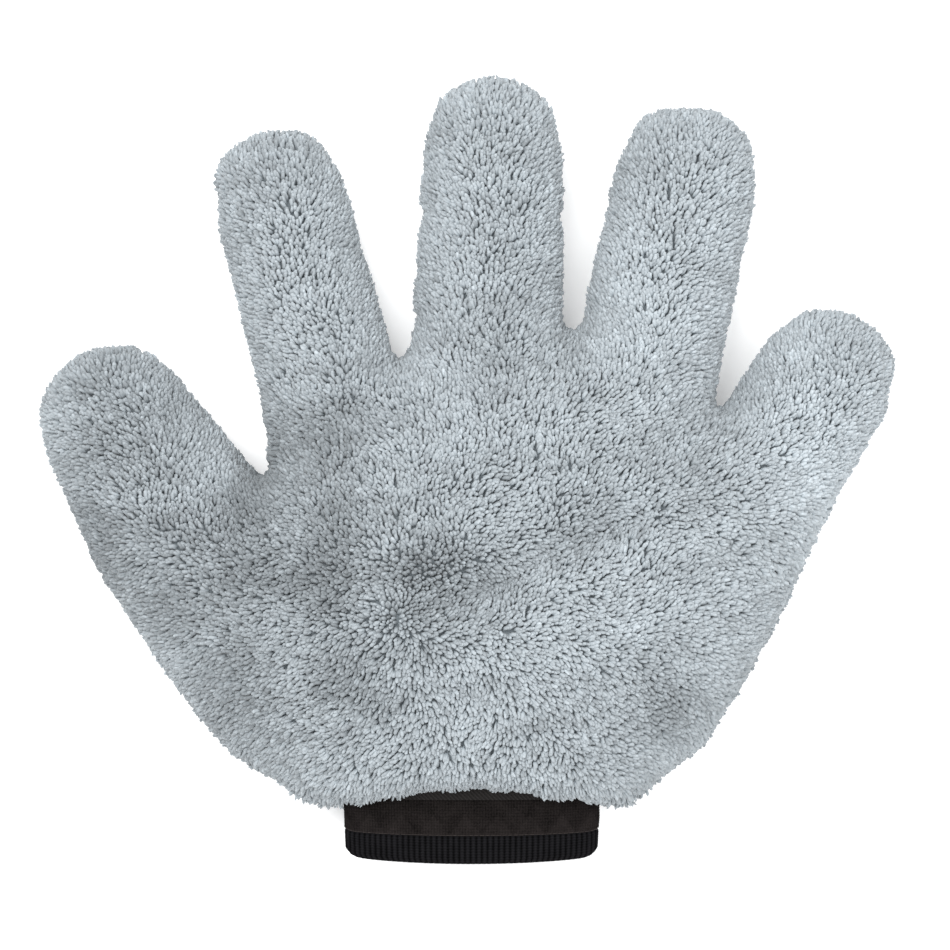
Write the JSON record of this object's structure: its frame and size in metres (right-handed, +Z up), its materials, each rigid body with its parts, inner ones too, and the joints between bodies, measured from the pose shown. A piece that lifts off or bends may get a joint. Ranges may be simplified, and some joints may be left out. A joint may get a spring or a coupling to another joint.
{
  "type": "wash mitt",
  "caption": "Plush five-fingered wash mitt with separate face and back panels, hollow finger stalls that curl, an inner lining and an open knitted cuff.",
  "frame": {"origin": "middle of the glove's box, on the surface that it lies on", "axes": "+Z up out of the palm face, +Y along the middle finger away from the cuff, +X towards the little finger"},
  "size_m": [0.2618, 0.2392, 0.0386],
  "materials": {
    "plush": "deep coral-fleece pile in pale blue-grey, tufted, matte with a soft sheen",
    "lining": "thin light grey tricot lining, matte",
    "seam": "overlocked seam allowance in grey polyester thread, matte",
    "cuff_knit": "near-black brownish knitted band, matte",
    "cuff_rib": "near-black fine rib hem, matte",
    "elastic": "covered rubber elastic, off-white, matte"
  },
  "bodies": {
    "palm": {"palm_face": "plush", "palm_back": "plush", "palm_lining": "lining", "side_seam": "seam", "web_seam": "seam", "cuff_knit_band": "cuff_knit", "cuff_rib_hem": "cuff_rib", "cuff_elastic": "elastic", "cuff_hem_seam": "seam", "cuff_band_seam": "cuff_knit", "cuff_closing_seam": "cuff_knit"},
    "thumb_base": {"thumb_base_face": "plush", "thumb_base_back": "plush", "thumb_base_lining": "lining", "thumb_base_seam": "seam"},
    "thumb_tip": {"thumb_tip_face": "plush", "thumb_tip_back": "plush", "thumb_tip_lining": "lining", "thumb_tip_seam": "seam"},
    "index_base": {"index_base_face": "plush", "index_base_back": "plush", "index_base_lining": "lining", "index_base_seam": "seam"},
    "index_tip": {"index_tip_face": "plush", "index_tip_back": "plush", "index_tip_lining": "lining", "index_tip_seam": "seam"},
    "middle_base": {"middle_base_face": "plush", "middle_base_back": "plush", "middle_base_lining": "lining", "middle_base_seam": "seam"},
    "middle_tip": {"middle_tip_face": "plush", "middle_tip_back": "plush", "middle_tip_lining": "lining", "middle_tip_seam": "seam"},
    "ring_base": {"ring_base_face": "plush", "ring_base_back": "plush", "ring_base_lining": "lining", "ring_base_seam": "seam"},
    "ring_tip": {"ring_tip_face": "plush", "ring_tip_back": "plush", "ring_tip_lining": "lining", "ring_tip_seam": "seam"},
    "little_base": {"little_base_face": "plush", "little_base_back": "plush", "little_base_lining": "lining", "little_base_seam": "seam"},
    "little_tip": {"little_tip_face": "plush", "little_tip_back": "plush", "little_tip_lining": "lining", "little_tip_seam": "seam"}
  },
  "joints": [
    {"name": "thumb_knuckle", "type": "hinge", "parent": "palm", "child": "thumb_base", "pos_m": [-0.08886, -0.01606, 0.015], "axis": [0.8526, 0.5225, 0], "range_deg": [0, 60]},
    {"name": "thumb_middle", "type": "hinge", "parent": "thumb_base", "child": "thumb_tip", "pos_m": [-0.10192, 0.00525, 0.015], "axis": [0.8526, 0.5225, 0], "range_deg": [0, 60]},
    {"name": "index_knuckle", "type": "hinge", "parent": "palm", "child": "index_base", "pos_m": [-0.04346, 0.03114, 0.015], "axis": [0.9664, 0.2571, 0], "range_deg": [0, 60]},
    {"name": "index_middle", "type": "hinge", "parent": "index_base", "child": "index_tip", "pos_m": [-0.05168, 0.06206, 0.015], "axis": [0.9664, 0.2571, 0], "range_deg": [0, 60]},
    {"name": "middle_knuckle", "type": "hinge", "parent": "palm", "child": "middle_base", "pos_m": [0.00634, 0.04664, 0.015], "axis": [0.9996, -0.0297, 0], "range_deg": [0, 60]},
    {"name": "middle_middle", "type": "hinge", "parent": "middle_base", "child": "middle_tip", "pos_m": [0.00729, 0.07862, 0.015], "axis": [0.9996, -0.0297, 0], "range_deg": [0, 60]},
    {"name": "ring_knuckle", "type": "hinge", "parent": "palm", "child": "ring_base", "pos_m": [0.05674, 0.04054, 0.015], "axis": [0.9774, -0.2113, 0], "range_deg": [0, 60]},
    {"name": "ring_middle", "type": "hinge", "parent": "ring_base", "child": "ring_tip", "pos_m": [0.06351, 0.07181, 0.015], "axis": [0.9774, -0.2113, 0], "range_deg": [0, 60]},
    {"name": "little_knuckle", "type": "hinge", "parent": "palm", "child": "little_base", "pos_m": [0.09564, 0.00554, 0.015], "axis": [0.8425, -0.5388, 0], "range_deg": [0, 60]},
    {"name": "little_middle", "type": "hinge", "parent": "little_base", "child": "little_tip", "pos_m": [0.10642, 0.02238, 0.015], "axis": [0.8425, -0.5388, 0], "range_deg": [0, 60]}
  ]
}
